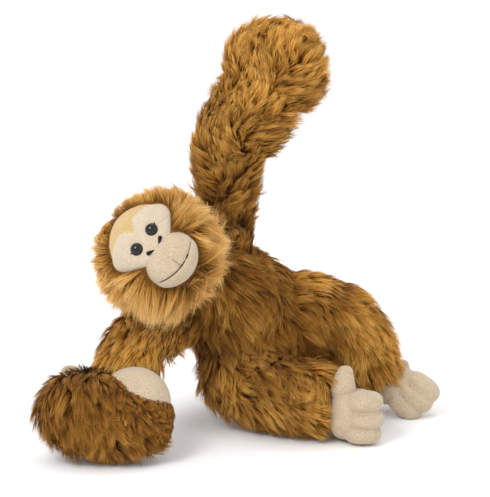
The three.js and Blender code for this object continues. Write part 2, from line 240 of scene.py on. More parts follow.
class Ball:
    """A fabric ball with three radii along its own axes; below 1, square fills its corners out."""

    def __init__(self, name, centre, radii, axes=None, square=1.0):
        self.centre, self.square = np.array(centre), square
        self.radii = np.array(radii) * MM
        self.axes = np.array(axes if axes else ((1, 0, 0), (0, 1, 0), (0, 0, 1)), float)
        made = bmesh.new()
        bmesh.ops.create_icosphere(made, subdivisions=BALL_DETAIL, radius=1)
        points = squared(np.array([v.co for v in made.verts]), square)
        points = points * self.radii @ self.axes + self.centre
        faces = [tuple(v.index for v in f.verts) for f in made.faces]
        made.free()
        points[:, 2] = np.maximum(points[:, 2], FLOOR_GAP)
        self.obj = mesh_object(name, points, faces)

    def depth(self, points):
        local = squared((points - self.centre) @ self.axes.T / self.radii, 1 / self.square)
        return (1 - np.linalg.norm(local, axis=1)) * self.radii.min()

    def flow(self, points):
        return points - self.centre


# ---------------------------------------------------------------- long pile


class Pile:
    """What one patch of long pile is like, in mm and shares."""

    def __init__(self, length, density, lift=0.62, lean=0.78, droop=0.14, swirl=0.6, width=0.54):
        self.length, self.density = length * MM, density
        self.lift, self.lean, self.droop = lift, lean, droop
        self.swirl, self.width = swirl, width * MM


BODY_PILE = Pile(length=26, density=0.85, swirl=0.85)
LIMB_PILE = Pile(length=25, density=0.9)
HAND_PILE = Pile(length=26, density=0.95, lift=0.55, lean=0.85, swirl=0.25)
HEAD_PILE = Pile(length=31, density=1.0, lift=0.52, lean=0.88, droop=0.1, swirl=0.5, width=0.5)

PILES = {"torso": BODY_PILE, "head": HEAD_PILE, "hand_l": HAND_PILE, "hand_r": HAND_PILE}

LEVELS = np.array([0, 0.3, 0.64, 1.0])  # shares of a strand's length where it has points
TAPER = np.array([0.8, 1.0, 0.72])  # its width at each level before the tip
STRAND_POINTS = 7  # two at each level before the tip, and the tip
STRAND_CORNERS = 11  # of two quads and a triangle
LOCK_LENGTHS = (0.6, 1.32)  # shortest and longest lock, as shares of the pile's length
LOCK_STRAY = 0.22  # how far locks differ in way from their neighbours
LOCK_TILT = 0.2  # how far locks lean off the surface's normal
TUFT_PULL = 0.55  # how far a lock's tip goes to its tuft's tip
STRAND_LENGTHS = (0.8, 1.08)  # as shares of the lock's length
STRAND_STRAY = 0.12
STRAND_PULL = (0.15, 0.8)  # how far strands go to their lock's tip
STRAND_WIDTHS = (0.7, 1.3)
STRAND_ROLL = 1.1  # the most a flat strand turns about its own length, in radians
LAP_PAINTED_SHADE = 0.6  # painted shade: how much darker the pile is round the lap's hollow
PATCH_SHADE = 0.6  # how far broad patches differ in shade
LOCK_SHADE, STRAND_SHADE = 0.15, 0.07  # how far neighbours differ in shade
SHADE_LIMITS = (0.02, 0.98)
LOCK_SPACING = 4.2 * MM  # between the tips that strands gather to
TUFT_SHARE = 0.09  # of the locks, these lead bigger tufts
MOST_STRANDS = 39000  # in one piece
SWIRL_SIZE = 30 * MM  # how large the swirls are
SHADE_SIZE = SWIRL_SIZE * 0.9
LAP_SIZE = 34 * MM


def scatter(obj, density, rng):
    """Points spread evenly over a mesh, and the normals there."""
    mesh = obj.data
    mesh.calc_loop_triangles()
    corners = np.zeros(len(mesh.loop_triangles) * 3, np.int64)
    mesh.loop_triangles.foreach_get("vertices", corners)
    corners = corners.reshape(-1, 3)
    places = np.zeros(len(mesh.vertices) * 3)
    mesh.vertices.foreach_get("co", places)
    places = places.reshape(-1, 3)
    directions = np.zeros(len(mesh.vertices) * 3)
    mesh.vertices.foreach_get("normal", directions)
    directions = directions.reshape(-1, 3)
    a, b, c = (places[corners[:, k]] for k in range(3))
    areas = np.linalg.norm(np.cross(b - a, c - a), axis=1) / 2
    count = int(areas.sum() / MM**2 * density)
    chosen = rng.choice(len(areas), count, p=areas / areas.sum())
    u, v = rng.random(count), rng.random(count)
    over = u + v > 1
    u[over], v[over] = 1 - u[over], 1 - v[over]
    weights = np.stack([1 - u - v, u, v], axis=1)
    picked = corners[chosen]
    roots = sum(places[picked[:, k]] * weights[:, k : k + 1] for k in range(3))
    normals = unit(sum(directions[picked[:, k]] * weights[:, k : k + 1] for k in range(3)))
    return roots, normals


def nearest(points, targets):
    """For each point, the number of the nearest target."""
    tree = KDTree(len(targets))
    for k, target in enumerate(targets):
        tree.insert(target, k)
    tree.balance()
    return np.array([tree.find(p)[1] for p in points])


def bend(roots, normals, ways, lengths, pile, t):
    """Where strands are at share t of their length: they rise first, then lean over and droop."""
    rise = pile.lift * (t - 0.35 * t**2)
    sweep = pile.lean * (0.4 * t + 0.6 * t**2)
    path = normals * rise + ways * sweep
    path[:, 2] -= pile.droop * t**2
    return roots + path * lengths[:, None]


def shade_at(points, rng, bias):
    """0, dark, to 1, light, for each lock: broad patches, the body's bias, painted shade round the
    lap's hollow, and a little chance.
    """
    broad = np.array([noise.noise(Vector(p) / SHADE_SIZE) for p in points])
    lap = hill(np.linalg.norm(points - np.array(LAP), axis=1), LAP_SIZE)
    # the lap's hill is painted shade for the recess between belly and thighs
    shade = 0.5 + bias - LAP_PAINTED_SHADE * lap + PATCH_SHADE * broad
    return np.clip(shade + rng.normal(0, LOCK_SHADE, len(points)), *SHADE_LIMITS)


def grow(name, roots, normals, flow, pile, rng, bias, scale):
    """Meshes of tapered strands that follow the flow, gathered into locks and tufts."""
    count = len(roots)
    area = count / pile.density * MM**2
    locks = rng.choice(count, max(12, int(area / LOCK_SPACING**2)), replace=False)
    owner = nearest(roots, roots[locks])

    swirl = np.array([noise.noise_vector(Vector(p) / SWIRL_SIZE) for p in roots[locks]])
    stray = rng.normal(0, LOCK_STRAY, (len(locks), 3))
    lock_way = unit(flow[locks]) + swirl * pile.swirl * 2 + stray
    lock_normal = unit(normals[locks] + rng.normal(0, LOCK_TILT, (len(locks), 3)))
    lock_way = along_surface(lock_way, lock_normal)
    long = pile.length * scale[locks]
    lock_length = long * rng.uniform(*LOCK_LENGTHS, len(locks))

    tufts = rng.choice(len(locks), max(4, int(len(locks) * TUFT_SHARE)), replace=False)
    leader = tufts[nearest(roots[locks], roots[locks][tufts])]

    lengths = lock_length[owner] * rng.uniform(*STRAND_LENGTHS, count)
    ways = along_surface(lock_way[owner] + rng.normal(0, STRAND_STRAY, (count, 3)), normals)
    pull = rng.uniform(*STRAND_PULL, count)[:, None]
    rows = []
    for t in LEVELS:
        guide = bend(roots[locks], lock_normal, lock_way, lock_length, pile, t)
        guide += (guide[leader] - guide) * (TUFT_PULL * t**1.5)
        own = bend(roots, normals, ways, lengths, pile, t)
        rows.append(own + (guide[owner] - own) * pull * t**1.2)
    rows = np.stack(rows, axis=1)

    forward = unit(rows[:, 3] - rows[:, 0])
    across = unit(np.cross(forward, normals))
    roll = rng.uniform(-STRAND_ROLL, STRAND_ROLL, count)[:, None]
    across = across * np.cos(roll) + np.cross(forward, across) * np.sin(roll)
    half = across * pile.width / 2 * rng.uniform(*STRAND_WIDTHS, count)[:, None]

    points = np.zeros((count, STRAND_POINTS, 3))
    for level in range(3):
        points[:, 2 * level] = rows[:, level] - half * TAPER[level]
        points[:, 2 * level + 1] = rows[:, level] + half * TAPER[level]
    points[:, -1] = rows[:, 3]
    low = np.array(cad_low) - PROUD
    high = np.array(cad_high) + PROUD
    low[2] = FLOOR_GAP
    points = np.clip(points, low, high)

    shade = shade_at(roots[locks], rng, bias)[owner] + rng.normal(0, STRAND_SHADE, count)
    shade = np.clip(shade, *SHADE_LIMITS)
    made = []
    for share in np.array_split(np.arange(count), -(-count // MOST_STRANDS)):
        part = f"{name}_{len(made) + 1}" if made else name
        made.append(strand_mesh(part, points[share].reshape(-1, 3), shade[share]))
    return made


def strand_mesh(name, points, shade):
    """Strands of seven points: two quads and a tip. The UV holds the lock's shade and root to tip."""
    count = len(shade)
    pattern = np.array([0, 1, 3, 2, 2, 3, 5, 4, 4, 5, 6])
    height = np.repeat(LEVELS, 2)[:STRAND_POINTS][pattern] * 0.96 + 0.02
    corners = (np.arange(count)[:, None] * STRAND_POINTS + pattern).ravel()
    starts = (np.arange(count)[:, None] * STRAND_CORNERS + np.array([0, 4, 8])).ravel()
    mesh = bpy.data.meshes.new(name)
    mesh.vertices.add(count * STRAND_POINTS)
    mesh.vertices.foreach_set("co", points.astype(np.float32).ravel())
    mesh.loops.add(count * STRAND_CORNERS)
    mesh.loops.foreach_set("vertex_index", corners.astype(np.int32))
    mesh.polygons.add(count * 3)
    mesh.polygons.foreach_set("loop_start", starts.astype(np.int32))
    mesh.polygons.foreach_set("loop_total", np.tile([4, 4, 3], count).astype(np.int32))
    mesh.update(calc_edges=True)
    mesh.polygons.foreach_set("use_smooth", np.ones(count * 3, bool))
    layer = mesh.uv_layers.new(name="OFBake")
    places = np.stack([np.repeat(shade, STRAND_CORNERS), np.tile(height, count)], axis=1)
    layer.data.foreach_set("uv", places.astype(np.float32).ravel())
    obj = bpy.data.objects.new(name, mesh)
    bpy.context.scene.collection.objects.link(obj)
    return obj


# ---------------------------------------------------------------- materials


def srgb(red, green, blue):
    """Linear colour from an sRGB colour of 0 to 255."""
    shares = [c / 255 for c in (red, green, blue)]
    return tuple(c / 12.92 if c <= 0.04045 else ((c + 0.055) / 1.055) ** 2.4 for c in shares) + (1,)


class Look:
    """A node material being built."""

    def __init__(self, name, **sockets):
        self.material = bpy.data.materials.new(name)
        self.material.use_nodes = True
        self.tree = self.material.node_tree
        self.shader = self.tree.nodes["Principled BSDF"]
        for key, value in sockets.items():
            self.shader.inputs[key.replace("_", " ")].default_value = value

    def node(self, kind, links=(), **settings):
        made = self.tree.nodes.new(kind)
        for key, value in settings.items():
            setattr(made, key, value)
        for socket, source in dict(links).items():
            if hasattr(source, "is_output"):
                self.tree.links.new(source, made.inputs[socket])
            else:
                made.inputs[socket].default_value = source
        return made

    def ramp(self, source, *stops):
        made = self.node("ShaderNodeValToRGB", {"Fac": source})
        band = made.color_ramp.elements
        band[0].position, band[0].color = stops[0]
        band[1].position, band[1].color = stops[-1]
        for place, colour in stops[1:-1]:
            band.new(place).color = colour
        return made.outputs["Color"]

    def mix(self, share, first, second, blend_type="MIX"):
        made = self.node("ShaderNodeMix", data_type="RGBA", blend_type=blend_type)
        for socket, source in ((0, share), (6, first), (7, second)):
            if hasattr(source, "is_output"):
                self.tree.links.new(source, made.inputs[socket])
            else:
                made.inputs[socket].default_value = source
        return made.outputs[2]

    def place(self):
        return self.node("ShaderNodeTexCoord").outputs["Object"]

    def noise(self, scale, detail=3, roughness=0.55):
        inputs = {"Vector": self.place(), "Scale": scale, "Detail": detail, "Roughness": roughness}
        return self.node("ShaderNodeTexNoise", inputs).outputs["Fac"]

    def wave(self, scale, distortion):
        inputs = {"Vector": self.place(), "Scale": scale, "Distortion": distortion}
        return self.node("ShaderNodeTexWave", inputs).outputs["Fac"]

    def colour(self, source):
        self.tree.links.new(source, self.shader.inputs["Base Color"])
        return self

    def bump(self, source, strength, distance):
        inputs = {"Height": source, "Strength": strength, "Distance": distance}
        made = self.node("ShaderNodeBump", inputs)
        self.tree.links.new(made.outputs["Normal"], self.shader.inputs["Normal"])
        return self


def fur_look(name, dark, light):
    """Pile colour from its UV: across is the lock's shade, up is root to tip; over the pile's own
    colour the roots are darkened as painted shade and the tips lightened as painted light.
    """
    look = Look(name, Roughness=0.62, Sheen_Weight=0.06, Specular_IOR_Level=0.14)
    place = look.node("ShaderNodeUVMap", uv_map="OFBake").outputs["UV"]
    parts = look.node("ShaderNodeSeparateXYZ", {"Vector": place}).outputs
    heights = (0.02, 0.3, 0.62, 0.98)
    first = look.ramp(parts["Y"], *zip(heights, [srgb(*c) for c in dark]))
    second = look.ramp(parts["Y"], *zip(heights, [srgb(*c) for c in light]))
    return look.colour(look.mix(parts["X"], first, second)).material


def backing_look(name, dark, light):
    """The knitted backing between the roots of the pile."""
    look = Look(name, Roughness=0.9, Specular_IOR_Level=0.1)
    look.colour(look.ramp(look.noise(220, 4), (0.35, srgb(*dark)), (0.7, srgb(*light))))
    return look.bump(look.noise(900), 0.5, 0.6 * MM).material


def plush_look(name, colour, shadow):
    """Short velvety pile: a fine nap with faint broad mottling."""
    look = Look(name, Roughness=0.92, Sheen_Weight=0.35, Sheen_Roughness=0.5, Specular_IOR_Level=0.15)
    nap = look.ramp(look.noise(780, 3, 0.75), (0.36, srgb(*shadow)), (0.6, srgb(*colour)))
    broad = look.ramp(look.noise(70, 3), (0.3, (0.93, 0.91, 0.88, 1)), (0.65, (1, 1, 1, 1)))
    look.colour(look.mix(1.0, nap, broad, "MULTIPLY"))
    return look.bump(look.noise(900, 3, 0.75), 0.8, 0.8 * MM).material


def eye_look():
    look = Look("eye_plastic", Roughness=0.06, Specular_IOR_Level=0.42)
    look.colour(look.ramp(look.noise(160), (0.35, srgb(6, 5, 4)), (0.7, srgb(18, 12, 9))))
    return look.material


def thread_look():
    look = Look("thread", Roughness=0.7, Specular_IOR_Level=0.2)
    wave = look.wave(900.0, 2.0)
    look.colour(look.ramp(wave, (0.2, srgb(12, 9, 7)), (0.8, srgb(36, 25, 18))))
    return look.bump(wave, 0.5, 0.2 * MM).material


def plastic_look(name, colour):
    look = Look(name, Roughness=0.38)
    light, dark = srgb(*colour), srgb(*[c * 0.86 for c in colour])
    look.colour(look.ramp(look.noise(60), (0.4, dark), (0.65, light)))
    return look.bump(look.noise(2500), 0.1, 0.05 * MM).material


def canvas_look():
    look = Look("canvas", Roughness=0.9)
    weave = look.wave(600.0, 0.4)
    look.colour(look.ramp(weave, (0.2, srgb(196, 188, 170)), (0.8, srgb(226, 220, 205))))
    return look.bump(weave, 0.5, 0.3 * MM).material


# from root to tip, for the darkest and the lightest locks; the dark roots are partly painted shade and
# the bright tips partly painted light
FUR_DARK = ((52, 27, 4), (82, 46, 7), (120, 74, 16), (170, 114, 40))
FUR_LIGHT = ((98, 58, 10), (158, 100, 24), (214, 150, 56), (253, 209, 116))
HEAD_DARK = ((84, 52, 12), (134, 87, 28), (184, 131, 58), (216, 168, 94))
HEAD_LIGHT = ((132, 86, 26), (198, 141, 60), (240, 190, 108), (253, 226, 162))

looks = {
    "fur": fur_look("long_pile", FUR_DARK, FUR_LIGHT),
    "head_fur": fur_look("head_pile", HEAD_DARK, HEAD_LIGHT),
    "backing": backing_look("backing", (58, 34, 12), (104, 66, 26)),
    "head_backing": backing_look("head_backing", (104, 66, 26), (150, 102, 48)),
    "beige_plush": plush_look("beige_plush", (199, 181, 155), (172, 153, 127)),
    "cream_plush": plush_look("cream_plush", (203, 188, 166), (183, 166, 143)),
    "tan_plush": plush_look("tan_plush", (204, 174, 120), (182, 150, 98)),
    "eye_plastic": eye_look(),
    "thread": thread_look(),
    "skeleton_plastic": plastic_look("skeleton_plastic", (236, 236, 230)),
    "washer_plastic": plastic_look("washer_plastic", (240, 240, 238)),
    "canvas": canvas_look(),
    "stuffing": plush_look("stuffing", (245, 245, 242), (225, 225, 222)),
}


# ---------------------------------------------------------------- the fabric bodies

# distance along the torso's line and the radius there, in mm
SPINE = [
    (-26, 2), (-22, 14), (-14, 26), (2, 35), (30, 44), (65, 54),
    (100, 59), (130, 54), (160, 47), (188, 39), (206, 26), (216, 3),
]


def row(point, radius):
    return (*point, radius * MM)


def spine_rows():
    return smooth_curve([row(BODY_START + BODY_WAY * t * MM, r) for t, r in SPINE], 5)


def span(first, last, share):
    return first + (last - first) * share


def limb(side, first, second, end, offsets, radii):
    """Rows along a limb that leaves the trunk at one joint and bends at another."""
    start, bend_at = JOINTS[f"{first}_{side}"], JOINTS[f"{second}_{side}"]
    stations = [
        start + mm(*offsets[0]),
        start + mm(*offsets[1]),
        span(start, bend_at, 0.5) + mm(*offsets[2]),
        bend_at + mm(*offsets[3]),
        span(bend_at, end, 0.5) + mm(*offsets[4]),
        end + mm(*offsets[5]),
    ]
    return smooth_curve([row(p, r) for p, r in zip(stations, radii)], SPAN_ROWS)


# per limb: where each station sits beside the joint line, and its radius
LIMBS = {
    "arm_l": ([(-3, 8, -42), (-9, 0, 0), (-5, 0, 0), (-1, 0, 2), (1, 0, 3), (-6, 0, 0)],
              [19, 20, 24, 30, 36, 27]),
    "arm_r": ([(34, 14, 16), (-2, 0, 5), (-2, 0, 4), (0, 2, 0), (6, 16, 6), (2, 22, 10)],
              [20, 23, 22, 23, 25, 20]),
    "leg_l": ([(-48, 0, 26), (-12, 0, 24), (-5, 2, 14), (-5, 2, 4), (-3, 0, 4), (-5, 0, 1)],
              [34, 35, 31, 27, 26, 21]),
    "leg_r": ([(6, 26, 18), (-11, 0, 8), (-8, 0, 4), (0, -2, 4), (0, 0, 3), (-8, 0, 1)],
              [32, 32, 32, 31, 30, 26]),
}
SPAN_ROWS = 8
MID_UPPER, MID_LOWER = 2 * SPAN_ROWS, 4 * SPAN_ROWS  # rows where a limb is cut into pieces


def fabric_bodies():
    """Every fabric body by name, each a tube or a ball over the joints it covers."""
    made = {"torso": Tube("torso_backing", spine_rows(), 56)}
    axes = (FACE_LEFT, FACE_UP, FACE_FRONT)
    made["head"] = Ball("head_backing", on_head(0, HEAD_RISE, 0), HEAD_RADII, axes)
    ends = {
        "arm_l": middle("hand_back_l"), "arm_r": middle("hand_back_r"),
        "leg_l": middle("foot_l") - mm(24, 0, -18), "leg_r": middle("foot_r") - mm(22, -8, -6),
    }
    joints = {"arm": ("shoulder", "elbow"), "leg": ("hip", "knee")}
    for name, (offsets, radii) in LIMBS.items():
        kind, side = name.split("_")
        rows = limb(side, *joints[kind], ends[name], offsets, radii)
        made[f"upper_{name}"] = Tube(f"upper_{name}_backing", rows[: MID_UPPER + 1])
        made[f"lower_{name}"] = Tube(f"lower_{name}_backing", rows[MID_UPPER : MID_LOWER + 1])
        made[f"end_{name}"] = Tube(f"end_{name}_backing", rows[MID_LOWER:])
    centre = middle("hand_back_l") + mm(-1, 0, 1)
    made["hand_l"] = Ball("hand_l_backing", centre, (43, 33, 43), square=0.86)
    tilt = radians(7)
    sloped = ((cos(tilt), 0, -sin(tilt)), (0, 1, 0), (sin(tilt), 0, cos(tilt)))
    centre = middle("hand_back_r") + mm(3, 11, 5)
    made["hand_r"] = Ball("hand_r_backing", centre, (63, 32, 36), sloped, square=0.84)
    return made


bodies = fabric_bodies()


# ---------------------------------------------------------------- the face

# half outlines of the patches, left and up of the head's middle in mm, from the top down
MASK_MIDDLE, FOREHEAD_MIDDLE = (0, 20), (0, 28)
MASK_HALF = [
    (0, 41.5), (5, 42.6), (11, 43.6), (18, 42.4), (27, 38.6), (34, 33), (38.5, 27.5), (39.6, 21.5),
    (37, 15), (31, 9.5), (23, 4), (12, -4), (0, -6),
]
FOREHEAD_HALF = [
    (0, 53.5), (8, 52.4), (15, 50), (22, 46), (28, 41), (34, 33), (36, 25), (28, 16), (14, 10), (0, 8),
]


def outline(half, per_span=8):
    """A closed outline, the same on both sides, starting at the top and going round by the left."""
    both = half + [(-x, y) for x, y in half[-2:0:-1]]
    count = len(both)
    closed = [both[(k + count) % count] for k in range(-3, count + 4)]
    curve = smooth_curve(closed, per_span)
    return curve[3 * per_span : (3 + count) * per_span]


def head_front(left, up):
    """How far forward the head's ball is at a place on the face, in mm."""
    inside = 1 - (left / HEAD_RADII[0]) ** 2 - ((up - HEAD_RISE) / HEAD_RADII[1]) ** 2
    return HEAD_RADII[2] * max(inside, 0.0) ** 0.5


def mask_puff(left, up, share):
    """Two brow lobes, a dip between them, a hollow round each eye and a crease at its corner."""
    side = abs(left)
    lobe = 3.6 * hill(((side - 24) ** 2 + (up - 24) ** 2) ** 0.5, 17)
    dip = 2.6 * hill(left, 6) * hill(up - 42, 13)
    socket = 2.4 * hill(((side - EYE_ACROSS) ** 2 + (up - EYE_HEIGHT) ** 2) ** 0.5, 8.5)
    crease = 0.9 * hill(up - 17.5 + (side - 20) * 0.35, 1.3) * hill(side - 27, 6.5)
    edge = (1 - min(share, 1.0) ** 5) ** 0.5
    return (4.6 + lobe - dip - socket - crease) * edge - 1.2


def forehead_puff(left, up, share):
    """The same puff all over, rounded down at the edge."""
    edge = (1 - min(share, 1.0) ** 6) ** 0.5
    return 3.4 * edge - 1.2


def face_patch(name, half, centre, puff, rings=34):
    """A puffed patch of plush on the head's ball, closed behind."""
    edge = outline(half)
    sides = len(edge)
    points, faces = [on_head(*centre, head_front(*centre) + puff(*centre, 0))], []
    for ring in range(1, rings + 1):
        share = 1 - (1 - ring / rings) ** 1.6
        for x, y in edge:
            left, up = span(centre[0], x, share), span(centre[1], y, share)
            points.append(on_head(left, up, head_front(left, up) + puff(left, up, share)))
    last = 1 + (rings - 1) * sides
    for x, y in edge:
        left, up = span(centre[0], x, 0.97), span(centre[1], y, 0.97)
        points.append(on_head(left, up, head_front(left, up) - 4))
    points.append(on_head(*centre, head_front(*centre) - 4))
    for k in range(sides):
        after = (k + 1) % sides
        faces.append((0, 1 + k, 1 + after))
        for ring in range(rings):
            a, b = 1 + ring * sides + k, 1 + ring * sides + after
            faces.append((a, a + sides, b + sides, b))
        faces.append((last + sides + k, len(points) - 1, last + sides + after))
    return mesh_object(name, points, [f[::-1] for f in faces])


def smile_at(left):
    """How far above the muzzle's middle the smile runs, in mm."""
    return -12 + 0.0115 * left**2


def muzzle_dent(left, up):
    """The sewn-in lines of the muzzle: the smile, the short line down from the nose, and the lip."""
    smile = 1.1 * hill(up - smile_at(left), 1.3) * hill(left, 30)
    down = 0.9 * hill(left, 1.1) if smile_at(0) < up < 4 else 0.0
    lip = 0.7 * hill(up - smile_at(left) + 6, 4)
    return smile + down - lip


def muzzle_front(left, up):
    """How far forward of the head's middle the muzzle is, at a place from the muzzle's middle."""
    inside = 1 - (left / MUZZLE_RADII[0]) ** 2 - (up / MUZZLE_RADII[1]) ** 2
    return MUZZLE_AT[2] + MUZZLE_RADII[2] * max(inside, 0.0) ** 0.5


def make_muzzle():
    made = bmesh.new()
    bmesh.ops.create_icosphere(made, subdivisions=6, radius=1)
    points = []
    for v in made.verts:
        left, up, front = (v.co[k] * MUZZLE_RADII[k] for k in range(3))
        shrink = 1 - (muzzle_dent(left, up) / 24 if front > 0 else 0)
        points.append(on_head(*(at + c * shrink for at, c in zip(MUZZLE_AT, (left, up, front)))))
    faces = [tuple(v.index for v in f.verts) for f in made.faces]
    made.free()
    return mesh_object("muzzle_plush", points, faces)


def on_muzzle(left, up, lift=0.0):
    front = muzzle_front(left, up) - muzzle_dent(left, up) + lift
    return on_head(MUZZLE_AT[0] + left, MUZZLE_AT[1] + up, front)


def face_front(left, up):
    """How far forward the face is at a place from the head's middle, on whichever part stands out."""
    mask = head_front(left, up) + mask_puff(left, up, 0)
    return max(mask, muzzle_front(left - MUZZLE_AT[0], up - MUZZLE_AT[1]))


def thread(name, rows, sides=10):
    """A line of stitching: rows of point and radius, in metres."""
    return Tube(name, smooth_curve(rows, 6), sides).obj


def make_stitches():
    """The smile, both nostrils and the tick at each eye's outer corner."""
    smile = []
    for left in np.arange(-25, 26, 2.5):
        radius = 0.55 if left < 6 else 0.26
        radius = 0.75 if 9 < left < 13 else radius
        smile.append((*on_muzzle(left, smile_at(left), 0.1), radius * hill(left, 42) * MM))
    nose_line = [(*on_muzzle(0, up, 0.15), 0.22 * MM) for up in np.linspace(-1, smile_at(0), 8)]
    made = {"smile": thread("smile_thread", smile), "nose_line": thread("nose_line_thread", nose_line)}
    for side, sign in (("l", 1), ("r", -1)):
        nose = []
        for share in np.linspace(0, 1, 7):
            left, up = span(11.2, 3.8, share) * sign + 1, span(8.6, 5.2, share)
            radius = (0.4 + 2.0 * (1 - share) ** 0.8 * min(1, share * 5 + 0.35)) * MM
            nose.append((*on_head(left, up, face_front(left, up) + 0.1), radius))
        made[f"nostril_{side}"] = thread(f"nostril_thread_{side}", nose, 14)
        tick = []
        for share in np.linspace(0, 1, 4):
            left, up = (EYE_ACROSS + 5 + 3 * share) * sign, EYE_HEIGHT + 1 + 1.6 * share
            front = head_front(left, up) + mask_puff(left, up, 0) - 0.1
            tick.append((*on_head(left, up, front), (1.0 - 0.75 * share) * MM))
        made[f"tick_{side}"] = thread(f"eye_tick_{side}", tick)
    return made


def make_eye(side, sign):
    """A domed safety eye, half sunk in the mask."""
    centre = on_head(EYE_ACROSS * sign, EYE_HEIGHT, EYE_DEPTH)
    return Ball(f"eye_dome_{side}", centre, EYE_RADII, (FACE_LEFT, FACE_UP, FACE_FRONT)).obj


# ---------------------------------------------------------------- palms, thumbs and feet


ACROSS = (1, 0, 0)
TOE_SQUARE = 0.8  # how far the soles and digits fill out toward blocks


def blended(name, balls, voxel=1.1, smoothing=4):
    """One closed plush form from overlapping balls: each a centre, radii in mm and a long way."""
    points, faces = [], []
    for centre, radii, way in balls:
        made = bmesh.new()
        bmesh.ops.create_icosphere(made, subdivisions=4, radius=1)
        turn = Vector(way).normalized().to_track_quat("X", "Z").to_matrix()
        first = len(points)
        for v in made.verts:
            local = Vector(squared(np.array(v.co), TOE_SQUARE) * radii) * MM
            p = centre + turn @ local
            p.z = max(p.z, FLOOR_GAP)
            points.append(p)
        faces += [tuple(first + v.index for v in f.verts) for f in made.faces]
        made.free()
    rough = mesh_object(name + "_rough", points, faces)
    remesh = rough.modifiers.new("remesh", "REMESH")
    remesh.mode, remesh.voxel_size = "VOXEL", voxel * MM
    soften = rough.modifiers.new("soften", "SMOOTH")
    soften.factor, soften.iterations = 0.5, smoothing
    view = bpy.context.evaluated_depsgraph_get()
    mesh = bpy.data.meshes.new_from_object(rough.evaluated_get(view))
    bpy.data.objects.remove(rough)
    obj = bpy.data.objects.new(name, mesh)
    bpy.context.scene.collection.objects.link(obj)
    mesh.polygons.foreach_set("use_smooth", [True] * len(mesh.polygons))
    return obj


def make_foot(side):
    """A sole with three curled toes, whose grooves are where the balls meet."""
    heart = middle(f"foot_{side}")
    if side == "r":
        balls = [
            (heart + mm(-10, 1, -1), (18, 22, 26), ACROSS),
            (heart + mm(2, 4, -2), (20, 20, 25), ACROSS),
            (heart + mm(-13, 12, 6), (15, 14, 19), ACROSS),
        ]
        toes = [(8, -8, 14), (9, -9, -3), (6.5, -8, -19)]
        balls += [(heart + mm(*at), (19, 18, 10), ACROSS) for at in toes]
        return blended("foot_plush_r", balls)
    toe_way = (0.8, -0.1, -0.58)
    balls = [
        (heart + mm(-8, 2, 4), (22, 20, 19), ACROSS),
        (heart + mm(-15, 4, 1), (17, 16, 19), ACROSS),
        (heart + mm(3, 2, -1), (21, 18, 18), toe_way),
    ]
    toes = [(19, -6, 3), (12, -8, -7), (1, -7, -16)]
    balls += [(heart + mm(*at), (20, 17, 11.5), toe_way) for at in toes]
    return blended("foot_plush_l", balls)


def make_digit(name, node, thick, taper=0.2, lean=(0, 0, 0)):
    """A stubby thumb or big toe that fills its CAD node's box."""
    low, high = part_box(node)
    foot, tip = (low + high) / 2, (low + high) / 2 + mm(*lean)
    foot.z, tip.z = low.z, high.z - thick * 0.8 * MM
    steps = [(share, thick * (1 + taper * (0.4 - share))) for share in (0, 0.25, 0.5, 0.75, 1)]
    balls = [(span(foot, tip, share), (r, r, r), ACROSS) for share, r in steps]
    return blended(name, balls, 1.0, 5)


# ---------------------------------------------------------------- putting it together


def inside_face(points):
    """Which points of the head lie under the face's patches."""
    local = (points - np.array(HEAD_MIDDLE)) / MM
    left, up, front = (local @ np.array(way) for way in (FACE_LEFT, FACE_UP, FACE_FRONT))
    across = (left - MUZZLE_AT[0]) / MUZZLE_RADII[0]
    above = (up - MUZZLE_AT[1]) / MUZZLE_RADII[1]
    covered = across**2 + above**2 < 1
    for half, centre in ((MASK_HALF, MASK_MIDDLE), (FOREHEAD_HALF, FOREHEAD_MIDDLE)):
        edge = outline(half) - centre
        turns = np.arctan2(edge[:, 0], edge[:, 1])
        order = np.argsort(turns)
        reaches = np.linalg.norm(edge, axis=1)[order]
        turn = np.arctan2(left - centre[0], up - centre[1])
        reach = np.interp(turn, turns[order], reaches, period=2 * pi)
        covered |= np.hypot(left - centre[0], up - centre[1]) < reach
    return covered & (front > 0)


def head_flow(points):
    """The mane runs out from the face, back over the head and a little down."""
    local = points - np.array(on_head(0, 2, 0))
    left, up = (local @ np.array(way) for way in (FACE_LEFT, FACE_UP))
    out = unit(np.outer(left, FACE_LEFT) + np.outer(up, FACE_UP))
    return out - 0.45 * np.array(FACE_FRONT) + np.array([0, 0, -0.22])


def head_scale(points):
    """Longer at the cheeks and under the chin than at the brow."""
    up = (points - np.array(HEAD_MIDDLE)) @ np.array(FACE_UP) / MM
    return np.clip(1.0 - up * 0.006, 0.76, 1.2)


HAND_CROWN = middle("hand_back_r") + mm(-22, 62, 42)
MITTEN_WRIST = middle("hand_back_l") + mm(-26, 0, -40)

FLOWS = {
    "head": head_flow,
    "torso": lambda p: np.tile(np.array(BODY_WAY) + (0, 0, -0.35), (len(p), 1)),
    "hand_r": lambda p: unit(p - np.array(HAND_CROWN)) + np.array([0, 0, -0.1]),
    "hand_l": lambda p: unit(p - np.array(MITTEN_WRIST)),
}


# per body: partly the fur's own tone, partly painted light and shade, darker for parts that sit in
# shade and lighter for parts that face the light
TONE_AND_PAINTED_LIGHT = {
    "torso": -0.34, "hand_r": -0.52, "upper_arm_l": -0.3, "lower_arm_l": -0.06, "upper_arm_r": -0.28,
    "hand_l": 0.2, "end_arm_l": 0.14, "upper_leg_l": -0.1, "lower_leg_l": 0.02, "end_leg_l": 0.06,
    "upper_leg_r": -0.22, "lower_leg_r": -0.16, "end_leg_r": -0.04,
}


def flow_of(name, points):
    if name in FLOWS:
        return FLOWS[name](points)
    along = bodies[name].flow(points)
    fall = {"arm_l": 0.0, "arm_r": 0.25, "leg_l": 0.4, "leg_r": 0.5}[name.split("_", 1)[1]]
    return along - np.array([0, 0, fall])


